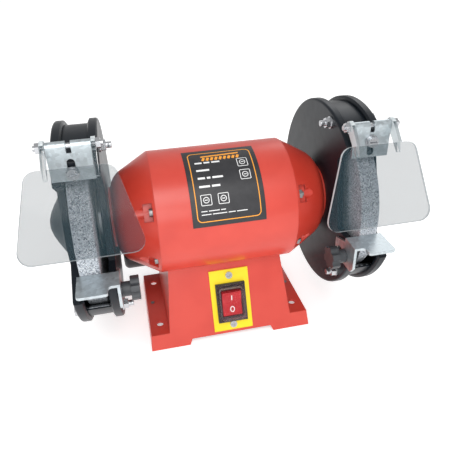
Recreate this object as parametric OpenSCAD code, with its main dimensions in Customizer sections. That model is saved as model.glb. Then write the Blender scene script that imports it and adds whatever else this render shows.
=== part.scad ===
// Bench grinder: a single-phase motor on a sheet-steel pedestal, with a guarded
// grinding wheel, a tool rest and a clear eye shield at each end of its spindle.
// Frame: X runs along the spindle, -Y faces the operator and +Z is up. The origin is
// the centre of the base, on the bench. Lengths are in millimetres.
// Every part of a wheel station is drawn on the +X side and mirrored for the left.

/* [Motor] */
// Height of the spindle axis above the bench
axis_z = 118; // [112:1:150]
// Outer diameter of the stator shell
shell_d = 110.8; // [100:0.2:120]
// Length of the stator shell
shell_len = 119.4; // [105:0.2:145]
// Sheet thickness of the stator shell
shell_wall = 2; // [1.5:0.1:2.6]
// Length of an end bell, along the spindle
bell_len = 36.8; // [32:0.1:45]
// Diameter of the pad on the nose of an end bell
bell_nose_d = 54; // [52:0.5:60]
// Radius that rounds the cone of an end bell into its nose
bell_round = 21.3; // [16:0.1:22]
// Wall thickness of an end bell
bell_wall = 2.6; // [2:0.1:3.2]
// Axial length of the stator and rotor stacks
stack_len = 48; // [40:1:60]
// Diameter of the rotor
rotor_d = 60; // [52:0.5:62]
// Radial air gap between rotor and stator
air_gap = 0.5; // [0.3:0.1:0.8]

/* [Spindle] */
// Spindle diameter where a wheel sits
spindle_d = 12.6; // [10:0.1:13]
// Bearing bore
bearing_bore = 15; // [14:1:16]
// Bearing outer diameter
bearing_d = 35; // [34:1:36]
// Bearing width
bearing_w = 11; // [10:0.5:12]
// Diameter of the wheel flanges
flange_d = 46; // [40:1:52]

/* [Grinding wheels] */
// Wheel diameter
wheel_d = 150; // [125:1:152]
// Wheel width
wheel_w = 16; // [13:1:18]
// Radial clearance of the wheel on the spindle
wheel_fit = 0.05; // [0.03:0.01:0.1]

/* [Guards] */
// Radius of the turned rim of a guard
guard_r = 88; // [87:0.5:100]
// Overall width of a guard, between its two flat faces
guard_w = 35.5; // [34:0.5:42]
// Sheet thickness of a guard
guard_wall = 1.2; // [1:0.1:1.6]
// Width of each turned rim
rim_w = 8; // [6:0.5:9]
// Depth of the band below the rims
rim_step = 4; // [3:0.5:5]
// Radius of the cover's dome, at its foot
dome_r = 44; // [40:1:60]
// Height of the cover's dome above its flat face
dome_h = 18; // [12:0.5:20]
// Angle above the front horizontal where the band ends over the wheel
band_top = 52; // [48:1:58]
// Angle below the front horizontal where the band ends under the wheel
band_low = 31; // [26:1:40]

/* [Tool rests] */
// Thickness of a tool rest
rest_t = 2.2; // [2:0.1:3]
// How far the rest's top lies below the spindle axis
rest_drop = 6.2; // [4:0.2:10]
// Gap between the rest and the wheel
rest_gap = 1.8; // [1.6:0.1:3]
// Depth of the rest, front to back
rest_depth = 27; // [22:0.5:32]
// Diameter of the star knob
knob_d = 20; // [18:0.5:24]

/* [Eye shields] */
// Width of the spark plate
plate_w = 31.4; // [28:0.2:34]
// Height of the spark plate, from its lower edge to the hinge rod
plate_h = 25.5; // [24:0.5:28]
// Height of the hinge rod above the spindle axis, with the plate lowered
rod_up = 83; // [82:0.5:90]
// How far the left spark plate stands raised in its slot
raised_left = 8; // [0:0.5:9]
// Hinge rod diameter
rod_d = 4; // [3:0.5:5]
// Width of a shield along its top edge
shield_top_w = 60; // [50:1:70]
// Width of a shield along its bottom edge
shield_low_w = 94; // [80:1:100]
// Length of a shield, from top edge to bottom edge
shield_len = 66; // [50:1:72]
// Thickness of a shield
shield_t = 2.5; // [2:0.1:3]

/* [Base] */
// Length of the base at the bench
base_len = 154.8; // [150:0.2:180]
// Depth of the base at the bench
base_depth = 108.2; // [104:0.2:120]
// Thickness of the base sheet
base_wall = 2; // [1.5:0.1:2.5]
// Height of the mounting flanges
flange_z = 13.7; // [12:0.1:18]
// Height of the arch between the feet
arch_h = 5.2; // [4:0.2:7]
// Distance between bolt holes along X
hole_dx = 133; // [128:0.5:136]
// Distance between bolt holes along Y
hole_dy = 66; // [50:0.5:72]
// Bolt hole diameter
hole_d = 6.4; // [5:0.1:7]

/* [Switch] */
// Position of the switch along X
switch_x = 2; // [-10:0.5:10]
// Width of the switch plate
switch_plate_w = 37.3; // [34:0.1:42]
// Length of the switch plate, up the sloping front
switch_plate_len = 59.6; // [56:0.1:62]
// Width of the switch bezel
bezel_w = 28; // [26:0.2:30]
// Length of the switch bezel
bezel_len = 37.5; // [34:0.2:40]

/* [Hidden] */

red = [0.82, 0.20, 0.15];
grey = [0.28, 0.30, 0.33];
zinc = [0.72, 0.75, 0.78];
steel = [0.62, 0.63, 0.65];
grit = [0.60, 0.64, 0.68];

// Clearances
slide_gap = 0.2;     // between faces that slide on each other
turn_gap = 0.1;      // radial, round a pin that turns
cut = 1;             // how far a cutting shape runs past a face
join = 0.01;         // how far pieces of one solid sink into each other

// Motor
shell_r = shell_d / 2;
shell_bore_r = shell_r - shell_wall;
shell_x = shell_len / 2;
bell_x = shell_x + bell_len;                 // pad on the nose of a bell
pad_h = 1.5;
nose_r = bell_nose_d / 2;
nose_centre = [nose_r - 4.4, bell_x - pad_h - bell_round];
spigot_len = 4;
spigot_wall = 2.2;
tie_r = shell_bore_r - 3.8;                  // radius of the circle of tie bolts
tie_d = 4;
tie_angles = [28, 152, 208, 332];            // from the front, upwards
tie_seat_x = shell_x + 2.4;                  // floor of a bell's screw pocket
tie_head_r = 3.5;
tie_head_h = 2.8;
tie_nut_h = 3.2;
tie_hole_r = tie_d / 2 + 0.2;
pocket_w = 15;
pocket_len = 7.5;
rotor_r = rotor_d / 2;
stator_bore_r = rotor_r + air_gap;
slot_count = 24;
slot_w = 3.4;
slot_in_r = stator_bore_r + 1.6;
slot_out_r = tie_r - tie_d / 2 - 3.4;
slot_mouth_w = 1.4;
winding_in_r = slot_in_r + 1;
winding_out_r = tie_r - tie_d / 2 - 0.8;
winding_len = 14;

// Bearings
washer_t = 0.7;
housing_end_x = bell_x - pad_h - bell_wall;  // end wall that closes a housing
bearing_x = housing_end_x - washer_t - bearing_w;
bearing_r = bearing_d / 2;
bearing_bore_r = bearing_bore / 2;
housing_wall = 2.8;
ball_r = 2.9;
ball_count = 8;
ball_pitch_r = (bearing_r + bearing_bore_r) / 2;
ball_gap = 0.08;
ring_wall = (bearing_r - bearing_bore_r) * 0.28;

// Guard along the spindle
guard_x = bell_x;                            // face that sits on the bell
cover_x = guard_x + guard_w;                 // flat outer face of the cover
band_r = guard_r - rim_step;
rim_round = 2;
wheel_x = guard_x + guard_w / 2 + 1.65;      // mid-plane of a wheel
wheel_r = wheel_d / 2;
wheel_bore_r = spindle_d / 2 + wheel_fit;
blotter_t = 0.6;
blotter_r = flange_d / 2 + 4;
flange_r = flange_d / 2;
flange_t = 4;
flange_hub_r = 12;
flange_hub_len = 3;
flange_in_x = wheel_x - wheel_w / 2 - blotter_t;      // face against the blotter
shoulder_x = flange_in_x - flange_t - flange_hub_len; // shaft shoulder
flange_out_x = wheel_x + wheel_w / 2 + blotter_t;
outer_flange_t = 3.5;
nut_x = flange_out_x + outer_flange_t;
nut_h = 6.5;
nut_r = 10.5;
spindle_end_x = nut_x + nut_h + 3;
mount_screw_r = 2;
mount_screw_pcr = bearing_r + housing_wall + mount_screw_r + 0.9;
mount_head_r = 3.9;
mount_head_h = 2.4;
mount_screw_len = 8;
guard_bolt_r = 2.5;
guard_bolt_pcr = band_r - guard_wall - guard_bolt_r - 0.9;
guard_bolt_angles = [74, 197, 320];
guard_bolt_head_h = 3.5;
guard_bolt_tail = 9.6;
guard_washer_r = 5.2;
guard_washer_t = 1.2;
guard_nut_h = 4;

// Window cut through the discs of a guard, as points [forward, up from the axis]
window_back_low = 55;
window_back_top = 42;
window_top_up = 50;
window_tip_angle = 46;
lip_w = 5.5;                                 // width of the turned-in lips
cover_tip_low = 18;

// Tool rest
rest_z = axis_z - rest_drop;
rest_reach = sqrt(pow(wheel_r, 2) - pow(rest_drop, 2));
rest_back = rest_reach + rest_gap;
rest_front = rest_back + rest_depth;
rest_step = rest_back + rest_depth * 2 / 3;  // where the tongue begins
rest_tongue_x = guard_x + 6.3;
rest_out_x = wheel_x + wheel_w / 2 + 2;
arm_out_x = guard_x - slide_gap;
arm_x = arm_out_x - rest_t;
arm_len = 23;                                // height of the arm under the plate
knob_forward = rest_back + 1.4;
knob_drop = 23;
stud_r = 3;
stud_hole_r = stud_r + turn_gap;
rest_travel = 10;
rest_in = 1.3;
arm_back = knob_forward - rest_travel - 2 * stud_r - 2.5;
knob_r = knob_d / 2;
knob_h = 7;
knob_hub_r = 6;
knob_hub_len = 7;
knob_x = arm_x - slide_gap;                  // face of the hub against the arm
stud_head_h = 4;
stud_head_r = 5.2;
stud_end_x = knob_x - 10.5;                  // inside the knob

// Spark plate and its hinge
rod_r = rod_d / 2;
rod_forward = 55.6;
rod_z = axis_z + rod_up;
plate_t = 1.5;
knuckle_r = rod_r + turn_gap + plate_t;
plate_front = rod_forward + knuckle_r;
plate_back = plate_front - plate_t;
station_x = wheel_x - 0.4;                   // mid-plane of plate and shield
knuckle_gap = 3.6;
tab_front = plate_back - slide_gap;
tab_t = 1.5;
tab_w = 2 * (cover_x - rim_w - slide_gap - station_x);
plate_screw_r = 2.3;
plate_screw_z = rod_z - 11.5;
plate_slot_r = plate_screw_r + 0.6;
plate_slot_low = rod_z - plate_h + 1.8 + plate_slot_r;
tab_top = rod_z - knuckle_r - 0.6;
ear_t = 2.8;
ear_in = plate_w / 2 + 0.3;
hinge_nut_h = 3.2;
hinge_nut_r = 4.05;
hinge_nut_in = ear_in + ear_t + slide_gap;
rod_half = hinge_nut_in + hinge_nut_h + 1.6;
ear_r = 5;
shield_top = [16.1, 9.7];                    // top edge from the rod: forward, down
shield_lean = 16.7;                          // from the vertical
shield_round = 9;

// Base
front_lean = atan((base_depth / 2 - 27.35) / (axis_z - sqrt(pow(shell_r, 2) - pow(27.35, 2))));
pedestal_low = 59.2;                         // half-length at the flange
side_lean = 5.8;
skirt_lean = 5;
saddle_t = 2;
arch_half = 41;
cover_screw_x = 70.5;
cover_screw_r = 1.75;
cover_t = 1.2;
cover_tab_half = 20;
cover_margin = 4.2;                          // between the cover and the sloping walls
cover_z = flange_z - base_wall - cover_t;
gland_x = 38;
gland_up = 24;
gland_r = 6;

// Switch, on the sloping front
slope = 1 / cos(front_lean);
switch_plate_mid = 35.9 * slope;
switch_plate_t = 1.2;
bezel_mid = 34 * slope;
bezel_t = 3;
switch_case_w = bezel_w - 5;
switch_case_len = bezel_len - 5;
switch_case_depth = 18;
switch_fit = 0.15;
rocker_w = 18.4;
rocker_len = 25;
rocker_tilt = 7;
rocker_pivot_in = 1.5;
trunnion_r = 1.4;
trunnion_x = rocker_w / 2 + 1.2;
hood_t = 0.8;
hood_h = 6.5;
switch_screw_r = 1.8;
switch_screw_head_r = 3.3;
switch_screw_at = 24.2;

// Capacitor
cap_r = 17;
cap_in_x = -20;
cap_out_x = -94;
cap_round = 5;
cap_up = 36;                                 // along the sloping back
clip_t = 1.2;
clip_w = 16;
clip_x = -42;
clip_gap = 0.3;                              // between strap and base
cap_off = cap_r + clip_t + clip_gap;         // axis of the capacitor from the back
clip_foot = 12;
clip_up = cap_up + cap_r + clip_t + clip_foot / 2;
clip_screw_r = 2;

// Nameplate
label_w = 62.4;
label_t = 0.3;
label_low = 9.8;
label_high = 86;

// ---------------------------------------------------------------- helpers

// Lays children on the spindle axis: their Z runs along +X, their X to the back, their Y up
module along_x() {
    translate([0, 0, axis_z])
        rotate([0, 90, 0])
            rotate([0, 0, 90])
                children();
}

// Solid of revolution round the spindle, from points [radius, x]
module turned(points) {
    along_x() rotate_extrude($fn = 96) polygon(points);
}

// Cylinder along X, at a radius and an angle up from the front
module rod_at(radius, angle, x0, x1, r, fn = 32) {
    translate([x0, -radius * cos(angle), axis_z + radius * sin(angle)])
        rotate([0, 90, 0])
            cylinder(h = x1 - x0, r = r, $fn = fn);
}

// Cylinder along X through a point
module rod_x(x0, x1, y, z, r, fn = 32) {
    translate([x0, y, z]) rotate([0, 90, 0]) cylinder(h = x1 - x0, r = r, $fn = fn);
}

// Cylinder along Y through a point
module rod_y(x, y0, y1, z, r, fn = 32) {
    translate([x, y1, z]) rotate([90, 0, 0]) cylinder(h = y1 - y0, r = r, $fn = fn);
}

// Box from its lowest and highest corners
module box(low, high) {
    translate(low) cube(high - low);
}

// Extrusion along X of an outline given as [y, z]
module slab_x(x0, x1, points) {
    translate([x0, 0, 0])
        rotate([90, 0, 90])
            linear_extrude(height = x1 - x0) polygon(points);
}

// Extrusion along Y of an outline given as [x, z]
module slab_y(y0, y1, points) {
    translate([0, y1, 0])
        rotate([90, 0, 0])
            linear_extrude(height = y1 - y0) polygon(points);
}

module left() {
    mirror([1, 0, 0]) children();
}

module both() {
    children();
    left() children();
}

// Rectangle with rounded corners, centred
module rounded_rect(w, h, r) {
    square([w - 2 * r, h], center = true);
    square([w, h - 2 * r], center = true);
    for (sx = [-1, 1], sy = [-1, 1])
        translate([sx * (w / 2 - r), sy * (h / 2 - r)]) circle(r = r, $fn = 32);
}

// Points of an arc, for rounding an outline
function arc(centre, r, from, to, steps = 5) =
    [for (i = [0:steps]) let (a = from + (to - from) * i / steps) centre + r * [cos(a), sin(a)]];

// Points in the other order
function reversed(points) = [for (i = [len(points) - 1:-1:0]) points[i]];

// Unit vector to the left of the way from a to b
function left_of(a, b) = [a[1] - b[1], b[0] - a[0]] / norm(b - a);

// An open line moved to its left by t, with its corners kept sharp
function shifted(points, t) =
    let (last = len(points) - 1)
    [for (i = [0:last])
        let (n = left_of(points[max(i - 1, 0)], points[max(i, 1)])
               + left_of(points[min(i, last - 1)], points[min(i + 1, last)]))
        points[i] + n * 2 * t / (n * n)];

// Half-depth of the base's sloping front at height z
function front_at(z) = base_depth / 2 - z * tan(front_lean);

// Point on a circle round the axis, as [y, z]
function polar(r, angle) = [-r * cos(angle), axis_z + r * sin(angle)];

// ---------------------------------------------------------------- base

module front_profile(inset, z0, z1) {
    w = inset * slope;
    slab_x(-base_len, base_len, [
        [-front_at(z0) + w, z0], [front_at(z0) - w, z0],
        [front_at(z1) - w, z1], [-front_at(z1) + w, z1]
    ]);
}

module side_profile(inset, z0, z1) {
    half = base_len / 2 - inset;
    step_z = flange_z - inset;
    ledge = half - step_z * tan(skirt_lean);
    low = pedestal_low - inset;
    top = low - (z1 - flange_z) * tan(side_lean);
    slab_y(-base_depth, base_depth, [
        [-half, z0], [half, z0], [ledge, step_z], [low, step_z],
        [top, z1], [-top, z1], [-low, step_z], [-ledge, step_z]
    ]);
}

module base_solid(inset, z0) {
    intersection() {
        front_profile(inset, z0, axis_z);
        side_profile(inset, z0, axis_z);
    }
}

// Places children on the sloping front: x across, -y outwards, z up the slope
module on_front(x, up) {
    translate([x, -base_depth / 2, 0])
        rotate([-front_lean, 0, 0])
            translate([0, 0, up])
                children();
}

module on_back(x, up) {
    mirror([0, 1, 0]) on_front(x, up) children();
}

module arch() {
    slab_y(-base_depth, base_depth, [
        [-arch_half, -cut], [arch_half, -cut], [arch_half, 0],
        [arch_half - 2.5, arch_h], [-arch_half + 2.5, arch_h], [-arch_half, 0]
    ]);
}

module base_frame() {
    color(red)
    difference() {
        base_solid(0, 0);
        difference() {
            base_solid(base_wall, -cut);
            rod_x(-base_len, base_len, 0, axis_z, shell_r + saddle_t, 128);
        }
        rod_x(-base_len, base_len, 0, axis_z, shell_r, 128);
        arch();
        for (sx = [-1, 1], sy = [-1, 1])
            translate([sx * hole_dx / 2, sy * hole_dy / 2, 0])
                cylinder(h = flange_z + cut, r = hole_d / 2, $fn = 32);
        for (sx = [-1, 1])
            translate([sx * cover_screw_x, 0, 0])
                cylinder(h = flange_z + cut, r = cover_screw_r, $fn = 24);
        // wiring hole into the motor
        cylinder(h = axis_z, r = 8, $fn = 32);
        // switch cut-out and screw holes
        on_front(switch_x, bezel_mid) switch_opening(base_wall + cut);
        on_front(switch_x, switch_plate_mid)
            for (s = [-1, 1])
                rod_y(0, -cut, base_wall + cut, s * switch_screw_at, switch_screw_r, 24);
        on_back(gland_x, gland_up) rod_y(0, -cut, base_wall + cut, 0, gland_r, 32);
        on_back(clip_x, clip_up) rod_y(0, -cut, base_wall + cut, 0, clip_screw_r, 24);
    }
}

module bottom_cover() {
    inner_x = base_len / 2 - base_wall - flange_z * tan(skirt_lean) - 1.5;
    inner_y = front_at(cover_z) - base_wall * slope - cover_margin;
    middle_x = hole_dx / 2 - hole_d / 2 - 3;
    color(grey)
    translate([0, 0, cover_z])
    difference() {
        linear_extrude(height = cover_t) {
            square([2 * middle_x, 2 * inner_y], center = true);
            square([2 * inner_x, 2 * cover_tab_half], center = true);
        }
        for (sx = [-1, 1])
            translate([sx * cover_screw_x, 0, -cut])
                cylinder(h = cover_t + 2 * cut, r = cover_screw_r, $fn = 24);
        // ventilation slots
        for (i = [-2:2])
            translate([i * 16, 0, -cut])
                linear_extrude(height = cover_t + 2 * cut) rounded_rect(4, 40, 1.9);
    }
}

module bottom_cover_screws() {
    color(steel)
    for (sx = [-1, 1])
        translate([sx * cover_screw_x, 0, cover_z - 2.2]) {
            cylinder(h = 2.2, r = 3.2, $fn = 32);
            cylinder(h = 2.2 + cover_t + base_wall + 0.6, r = cover_screw_r, $fn = 24);
        }
}

module cable_gland() {
    color([0.06, 0.06, 0.07])
    on_back(gland_x, gland_up)
    difference() {
        union() {
            rod_y(0, -6, base_wall + 8, 0, gland_r, 48);
            rod_y(0, -6, 0, 0, 10, 6);
            rod_y(0, -14, -6 + join, 0, 8.5, 48);
            rod_y(0, base_wall, base_wall + 4, 0, 9.5, 6);
        }
        rod_y(0, -14 - cut, base_wall + 8 + cut, 0, 3.6, 32);
    }
}

// ---------------------------------------------------------------- motor casing

module stator_shell() {
    color(red)
    difference() {
        turned([
            [shell_bore_r, -shell_x], [shell_r, -shell_x],
            [shell_r, shell_x], [shell_bore_r, shell_x]
        ]);
        // lead-out hole over the pedestal
        translate([0, 0, axis_z - shell_r - cut])
            cylinder(h = 2 * shell_wall + cut, r = 7, $fn = 32);
    }
}

// Angle at which the cone from a point at the shell's edge meets the rounded nose
function cone_angle(edge, r) =
    let (d = edge - nose_centre) acos(r / norm(d)) + atan2(d[1], d[0]);

// Outline of a bell's outer skin, from the shell's edge to its pad
function bell_skin() =
    let (edge = [shell_r, shell_x])
    concat(
        [edge],
        arc(nose_centre, bell_round, cone_angle(edge, bell_round),
            acos((nose_r - nose_centre[0]) / bell_round), 6),
        [[nose_r, bell_x]]
    );

// The same for its inner skin, from the end wall back to the shell's edge
function bell_inside() =
    let (edge = [shell_bore_r - 1.2, shell_x], r = bell_round - bell_wall)
    concat(arc(nose_centre, r, 90, cone_angle(edge, r), 6), [edge]);

// Everything inside a bell's outer skin
module bell_mass() {
    turned(concat([[0, shell_x]], bell_skin(), [[0, bell_x]]));
}

// Box at the tie-bolt circle, open outwards: drop is how far it reaches inwards
module pocket_box(angle, x0, x1, w, drop) {
    translate([0, 0, axis_z])
        rotate([angle, 0, 0])
            mirror([0, 1, 0])
                box([x0, tie_r - drop, -w / 2], [x1, shell_r + 5, w / 2]);
}

module end_bell() {
    hole_r = bearing_bore_r + 2;
    housing_x = bearing_x - 1;
    difference() {
        union() {
            turned(concat(
                bell_skin(),
                [[hole_r, bell_x], [hole_r, housing_end_x]],
                bell_inside()
            ));
            // bearing housing
            turned([
                [bearing_r, housing_x], [bearing_r, housing_end_x + join],
                [bearing_r + housing_wall, housing_end_x + join],
                [bearing_r + housing_wall, housing_x]
            ]);
            // spigot inside the shell
            turned([
                [shell_bore_r - spigot_wall, shell_x - spigot_len],
                [shell_bore_r, shell_x - spigot_len],
                [shell_bore_r, shell_x + join], [shell_bore_r - spigot_wall, shell_x + 2]
            ]);
            // bosses behind the screw pockets
            intersection() {
                bell_mass();
                for (a = tie_angles) {
                    pocket_box(a, shell_x, tie_seat_x + pocket_len + 8, 13, 7);
                    pocket_box(a, shell_x, tie_seat_x + pocket_len + 2, pocket_w + 4, 6.4);
                }
            }
        }
        for (a = tie_angles) {
            rod_at(tie_r, a, tie_seat_x, bell_x, 4.4);
            rod_at(tie_r, a, shell_x - spigot_len - cut, bell_x, tie_hole_r, 24);
            pocket_box(a, tie_seat_x, tie_seat_x + pocket_len, pocket_w, 4.2);
        }
        for (a = [45:90:315])
            rod_at(mount_screw_pcr, a, housing_end_x - cut, bell_x + cut, mount_screw_r, 24);
    }
}

// Four long bolts that clamp both bells on the shell: heads left, nuts right
module tie_bolts() {
    color(steel)
    for (a = tie_angles) {
        rod_at(tie_r, a, -tie_seat_x - join, tie_seat_x + tie_nut_h + 1.6, tie_d / 2, 24);
        difference() {
            rod_at(tie_r, a, -tie_seat_x - tie_head_h, -tie_seat_x, tie_head_r);
            translate([-tie_seat_x - tie_head_h, -tie_r * cos(a), axis_z + tie_r * sin(a)]) {
                cube([2.4, 1, 5], center = true);
                cube([2.4, 5, 1], center = true);
            }
        }
    }
}

module tie_bolt_nuts() {
    color(steel)
    for (a = tie_angles)
        difference() {
            rod_at(tie_r, a, tie_seat_x, tie_seat_x + tie_nut_h, 4.0, 6);
            rod_at(tie_r, a, tie_seat_x - cut, tie_seat_x + tie_nut_h + cut, tie_d / 2, 24);
        }
}

module nameplate() {
    color([0.05, 0.05, 0.06])
    along_x()
        rotate([0, 0, 180 - label_high])
            rotate_extrude(angle = label_high - label_low, $fn = 128)
                translate([shell_r, -label_w / 2]) square([label_t, label_w]);
}

// ---------------------------------------------------------------- motor inside

module stator_core() {
    color([0.45, 0.46, 0.50])
    difference() {
        turned([
            [stator_bore_r, -stack_len / 2], [shell_bore_r, -stack_len / 2],
            [shell_bore_r, stack_len / 2], [stator_bore_r, stack_len / 2]
        ]);
        for (i = [0:slot_count - 1])
            translate([0, 0, axis_z])
                rotate([360 / slot_count * i, 0, 0]) {
                    box([-stack_len, slot_in_r, -slot_w / 2], [stack_len, slot_out_r, slot_w / 2]);
                    box([-stack_len, stator_bore_r - cut, -slot_mouth_w / 2],
                        [stack_len, slot_in_r + join, slot_mouth_w / 2]);
                }
        for (a = tie_angles)
            rod_at(tie_r, a, -stack_len, stack_len, tie_hole_r, 24);
    }
}

module stator_windings() {
    x0 = stack_len / 2;
    x1 = x0 + winding_len;
    r0 = winding_in_r;
    r1 = winding_out_r;
    round_r = 4;
    color([0.72, 0.40, 0.18])
    both()
        turned(concat(
            [[r0, x0], [r1, x0]],
            arc([r1 - round_r, x1 - round_r], round_r, 0, 90, 4),
            arc([r0 + round_r, x1 - round_r], round_r, 90, 180, 4)
        ));
}

module rotor_core() {
    color([0.50, 0.51, 0.54])
    turned([
        [shaft_mid_r, -stack_len / 2], [rotor_r, -stack_len / 2],
        [rotor_r, stack_len / 2], [shaft_mid_r, stack_len / 2]
    ]);
}

shaft_mid_r = 10;
shaft_side_r = 9;
cage_ring_w = 6;
cage_blade_h = 7;

// Cast end rings of the rotor cage, with their stirring blades
module rotor_cage() {
    x0 = stack_len / 2;
    color([0.78, 0.79, 0.80])
    both() {
        turned([
            [rotor_r - 11, x0], [rotor_r - 0.5, x0],
            [rotor_r - 0.5, x0 + cage_ring_w], [rotor_r - 11, x0 + cage_ring_w]
        ]);
        for (i = [0:7])
            translate([0, 0, axis_z])
                rotate([45 * i, 0, 0])
                    box([x0 + cage_ring_w - join, rotor_r - 10, -1],
                        [x0 + cage_ring_w + cage_blade_h, rotor_r - 1, 1]);
    }
}

module rotor_shaft() {
    half = [
        [shaft_mid_r, stack_len / 2 + 8], [shaft_side_r, stack_len / 2 + 8],
        [shaft_side_r, bearing_x], [bearing_bore_r, bearing_x],
        [bearing_bore_r, shoulder_x], [spindle_d / 2, shoulder_x],
        [spindle_d / 2, spindle_end_x - 1], [spindle_d / 2 - 1, spindle_end_x]
    ];
    flipped = [for (i = [len(half) - 1:-1:0]) [half[i][0], -half[i][1]]];
    color(steel)
    turned(concat([[0, -spindle_end_x]], flipped, half, [[0, spindle_end_x]]));
}

module bearing_ring(r0, r1) {
    mid = bearing_x + bearing_w / 2;
    both()
        along_x()
            rotate_extrude($fn = 64)
                difference() {
                    translate([r0, bearing_x]) square([r1 - r0, bearing_w]);
                    translate([ball_pitch_r, mid]) circle(r = ball_r + ball_gap, $fn = 32);
                }
}

module bearing_outer_rings() {
    color(steel) bearing_ring(bearing_r - ring_wall, bearing_r);
}

module bearing_inner_rings() {
    color(steel) bearing_ring(bearing_bore_r, bearing_bore_r + ring_wall);
}

module bearing_balls() {
    color([0.8, 0.81, 0.83])
    both()
        for (i = [0:ball_count - 1])
            translate([bearing_x + bearing_w / 2, 0, axis_z])
                rotate([360 / ball_count * i, 0, 0])
                    translate([0, ball_pitch_r, 0])
                        sphere(r = ball_r, $fn = 24);
}

// Springy rings that load the outer rings of the bearings
module wave_washers() {
    r0 = bearing_r - ring_wall;
    r1 = bearing_r - 0.2;
    color([0.5, 0.5, 0.52])
    both()
        turned([
            [r0, housing_end_x - washer_t], [r1, housing_end_x - washer_t],
            [r1, housing_end_x], [r0, housing_end_x]
        ]);
}

// ---------------------------------------------------------------- wheels

module inner_flange() {
    turned([
        [wheel_bore_r, shoulder_x], [flange_hub_r, shoulder_x],
        [flange_hub_r, shoulder_x + flange_hub_len], [flange_r - 3, shoulder_x + flange_hub_len],
        [flange_r, shoulder_x + flange_hub_len + 1.2], [flange_r, flange_in_x],
        [flange_r - 6, flange_in_x], [flange_r - 6, flange_in_x - 0.8],
        [wheel_bore_r, flange_in_x - 0.8]
    ]);
}

module outer_flange() {
    turned([
        [wheel_bore_r, flange_out_x + 0.8], [flange_r - 6, flange_out_x + 0.8],
        [flange_r - 6, flange_out_x], [flange_r, flange_out_x],
        [flange_r, flange_out_x + 1.6], [flange_r - 4, nut_x], [wheel_bore_r, nut_x]
    ]);
}

// Paper washers on both faces of each wheel
module wheel_blotters() {
    color([0.85, 0.86, 0.84])
    both()
        for (x = [flange_in_x, wheel_x + wheel_w / 2])
            turned([
                [wheel_bore_r + 1, x], [blotter_r, x],
                [blotter_r, x + blotter_t], [wheel_bore_r + 1, x + blotter_t]
            ]);
}

module grinding_wheel() {
    x0 = wheel_x - wheel_w / 2;
    x1 = wheel_x + wheel_w / 2;
    edge = 0.8;
    turned([
        [wheel_bore_r, x0], [wheel_r - edge, x0], [wheel_r, x0 + edge],
        [wheel_r, x1 - edge], [wheel_r - edge, x1], [wheel_bore_r, x1]
    ]);
}

module wheel_nut() {
    difference() {
        rod_at(0, 0, nut_x, nut_x + nut_h, nut_r, 6);
        rod_at(0, 0, nut_x - cut, nut_x + nut_h + cut, spindle_d / 2, 48);
    }
}

// ---------------------------------------------------------------- guards

// Wedge of the region round the axis between two angles, past every radius
module wedge(x0, x1, from, to) {
    reach = 2 * guard_r;
    slab_x(x0, x1, concat(
        [[0, axis_z]],
        [for (i = [0:4]) polar(reach, from + (to - from) * i / 4)]
    ));
}

// Cut edge of the window at the front of the inner disc, from below upwards
window_low = axis_z - rest_drop - rest_t - 1.1;
inner_window_edge = [
    [-2 * guard_r, window_low],
    [-window_back_low, window_low],
    [-window_back_top, axis_z + window_top_up],
    polar(2 * guard_r, window_tip_angle + 4)
];

// The same for the outer cover, between a tip below and a tip above
cover_window_edge = [
    polar(guard_r, -cover_tip_low),
    [-window_back_low + 2, axis_z - 10],
    [-window_back_low, axis_z + 6],
    [-window_back_top - 5, axis_z + 36],
    [-window_back_top, axis_z + window_top_up],
    polar(guard_r, window_tip_angle)
];

module inner_window(x0, x1) {
    slab_x(x0, x1, inner_window_edge);
}

// Lip turned inwards along a cut edge, on the sheet's side of it
module window_lip(x0, x1, edge) {
    intersection() {
        slab_x(x0, x1, concat(edge, reversed(shifted(edge, -guard_wall))));
        rod_x(x0 - cut, x1 + cut, 0, axis_z, guard_r - guard_wall / 2, 96);
    }
}

// Window of the outer cover, with room for the spark plate in front of its upper tip
module cover_window(x0, x1) {
    box([x0, -2 * guard_r, axis_z + 45], [x1, -tab_front + join, axis_z + guard_r]);
    slab_x(x0, x1, concat(cover_window_edge, [
        polar(2 * guard_r, window_tip_angle - 6),
        polar(2 * guard_r, -cover_tip_low + 4)
    ]));
}

// Disc with its turned rim: outline of the sheet as [radius, depth from its flat face]
function rim_outline(hub_r) = concat(
    [[hub_r, 0]],
    arc([guard_r - rim_round, rim_round], rim_round, -90, 0, 4),
    [[guard_r, rim_w - guard_wall], [guard_r - rim_step / 2, rim_w], [band_r, rim_w]]
);

function rim_inside(hub_r) = concat(
    [[band_r, rim_w - guard_wall], [guard_r - rim_step / 2 - 0.4, rim_w - guard_wall],
     [guard_r - guard_wall, rim_w - 2 * guard_wall]],
    [[guard_r - guard_wall, rim_round], [guard_r - rim_round, guard_wall]],
    [[hub_r, guard_wall]]
);

// The same points with their depth measured from x, towards a direction
function at_x(points, x, dir) = [for (p = points) [p[0], x + dir * p[1]]];

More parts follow.
